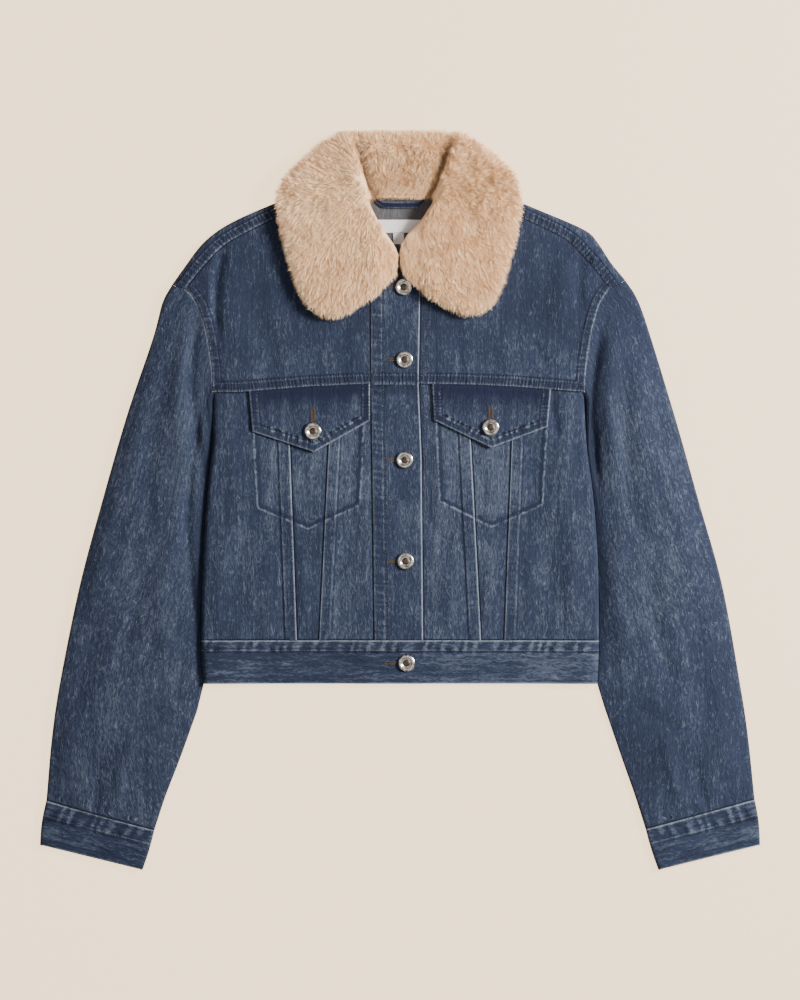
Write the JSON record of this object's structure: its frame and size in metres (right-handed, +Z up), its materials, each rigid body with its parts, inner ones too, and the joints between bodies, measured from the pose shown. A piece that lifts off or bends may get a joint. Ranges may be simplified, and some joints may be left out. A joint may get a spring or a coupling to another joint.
{
  "type": "denim trucker jacket with fur collar",
  "caption": "Cropped washed denim trucker jacket with a plush fur collar, chest flap pockets and metal shank buttons, laid flat with its front up",
  "frame": {"origin": "on the surface the jacket lies on, at the bottom centre of its bounding box, under the middle of the body", "axes": "+X runs from the wearer's right sleeve to the left sleeve, +Y from the hem and cuffs towards the collar, +Z up out of the front"},
  "size_m": [0.7552, 0.7764, 0.023],
  "materials": {
    "denim": "stone-washed mid-blue cotton denim with faded seam edges, matt",
    "fur": "short dense beige plush faux fur, matt",
    "button_metal": "nickel-plated shank button with a raised rim and a darker bronze middle",
    "label": "blank white woven satin tape, matt",
    "thread": "tobacco and faded blue topstitching and buttonhole thread"
  },
  "bodies": {
    "root": {"back_panel": "denim", "back_yoke": "denim", "front_yoke_right": "denim", "front_yoke_left": "denim", "side_front_right": "denim", "side_front_left": "denim", "v_panel_right": "denim", "v_panel_left": "denim", "centre_front_right": "denim", "centre_front_left": "denim", "buttonhole_placket": "denim", "button_stand": "denim", "pocket_bag_right": "denim", "pocket_bag_left": "denim", "pocket_flap_right": "denim", "pocket_flap_left": "denim", "waistband": "denim", "sleeve_right": "denim", "sleeve_left": "denim", "cuff_right": "denim", "cuff_left": "denim", "collar_fur": "fur", "hanger_loop": "denim", "neck_label": "label", "size_tab": "label", "front_button_1": "button_metal", "front_button_2": "button_metal", "front_button_3": "button_metal", "front_button_4": "button_metal", "front_button_5": "button_metal", "flap_button_right": "button_metal", "flap_button_left": "button_metal"}
  },
  "joints": []
}
